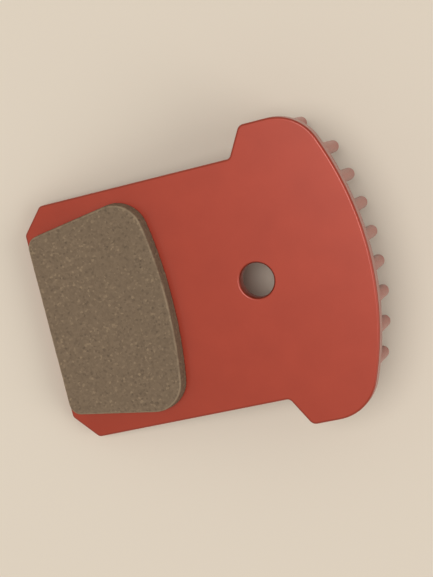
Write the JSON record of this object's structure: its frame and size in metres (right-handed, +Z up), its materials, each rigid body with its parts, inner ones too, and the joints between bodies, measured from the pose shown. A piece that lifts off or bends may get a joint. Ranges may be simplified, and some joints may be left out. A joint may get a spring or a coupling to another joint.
{
  "type": "bicycle disc brake pad",
  "caption": "Disc brake pad: friction block bonded to an anodised aluminium plate with a retaining-pin hole and a curved, horned head carrying cooling pins on its back.",
  "frame": {"origin": "on the surface the pad lies on, under the middle of its bounding box", "axes": "+X along the pad from the friction end to the finned head, +Y across it, +Z up; the pad lies on its innermost pin tips and the lower edge of its friction end, so its front leans back towards -X"},
  "size_m": [0.0436, 0.038, 0.0166],
  "materials": {
    "anodised_aluminium": "satin red anodised",
    "friction_compound": "matt, fine granular"
  },
  "bodies": {
    "root": {"backing_plate": "anodised_aluminium", "friction_block": "friction_compound"}
  },
  "joints": []
}
